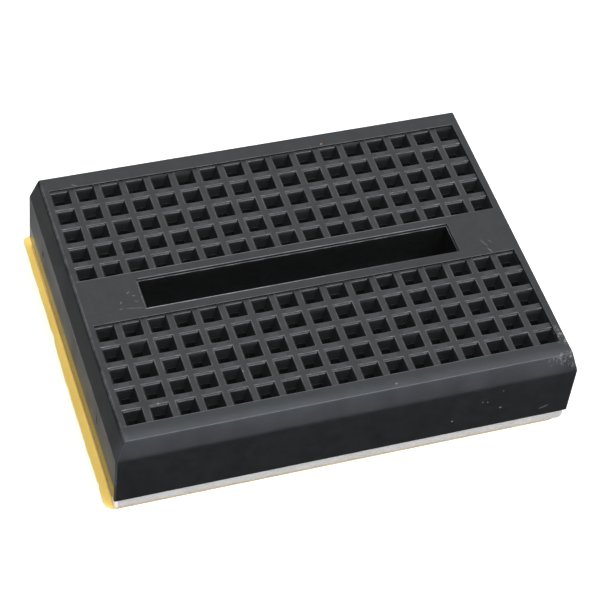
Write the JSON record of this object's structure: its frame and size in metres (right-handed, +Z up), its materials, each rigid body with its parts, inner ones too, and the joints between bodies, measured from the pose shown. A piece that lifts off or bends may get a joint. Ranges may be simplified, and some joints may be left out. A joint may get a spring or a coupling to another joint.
{
  "type": "solderless breadboard",
  "caption": "Small block with two banks of square push-in holes either side of a centre trough, spring clips inside and an adhesive foam base under a peel-off liner.",
  "frame": {"origin": "under the centre of the housing, on the underside of the release liner, the face the part rests on", "axes": "+Z up out of the hole face, X along the 17 columns of holes, Y across the centre trough"},
  "size_m": [0.0465, 0.0351, 0.0097],
  "materials": {
    "housing_plastic": "charcoal moulded ABS, satin, with worn edges",
    "clip_metal": "nickel-plated phosphor bronze strip",
    "foam": "off-white closed-cell foam with adhesive faces",
    "liner_paper": "yellow release paper, waxy"
  },
  "bodies": {
    "board": {"housing": "housing_plastic", "contact_clip_back_01": "clip_metal", "contact_clip_back_02": "clip_metal", "contact_clip_back_03": "clip_metal", "contact_clip_back_04": "clip_metal", "contact_clip_back_05": "clip_metal", "contact_clip_back_06": "clip_metal", "contact_clip_back_07": "clip_metal", "contact_clip_back_08": "clip_metal", "contact_clip_back_09": "clip_metal", "contact_clip_back_10": "clip_metal", "contact_clip_back_11": "clip_metal", "contact_clip_back_12": "clip_metal", "contact_clip_back_13": "clip_metal", "contact_clip_back_14": "clip_metal", "contact_clip_back_15": "clip_metal", "contact_clip_back_16": "clip_metal", "contact_clip_back_17": "clip_metal", "contact_clip_front_01": "clip_metal", "contact_clip_front_02": "clip_metal", "contact_clip_front_03": "clip_metal", "contact_clip_front_04": "clip_metal", "contact_clip_front_05": "clip_metal", "contact_clip_front_06": "clip_metal", "contact_clip_front_07": "clip_metal", "contact_clip_front_08": "clip_metal", "contact_clip_front_09": "clip_metal", "contact_clip_front_10": "clip_metal", "contact_clip_front_11": "clip_metal", "contact_clip_front_12": "clip_metal", "contact_clip_front_13": "clip_metal", "contact_clip_front_14": "clip_metal", "contact_clip_front_15": "clip_metal", "contact_clip_front_16": "clip_metal", "contact_clip_front_17": "clip_metal", "foam_pad": "foam"},
    "liner": {"release_liner": "liner_paper"}
  },
  "joints": [
    {"name": "liner_peel", "type": "hinge", "parent": "board", "child": "liner", "pos_m": [0.0228, 0, 0.00012], "axis": [0, -1, 0], "range_deg": [0, 150]}
  ]
}
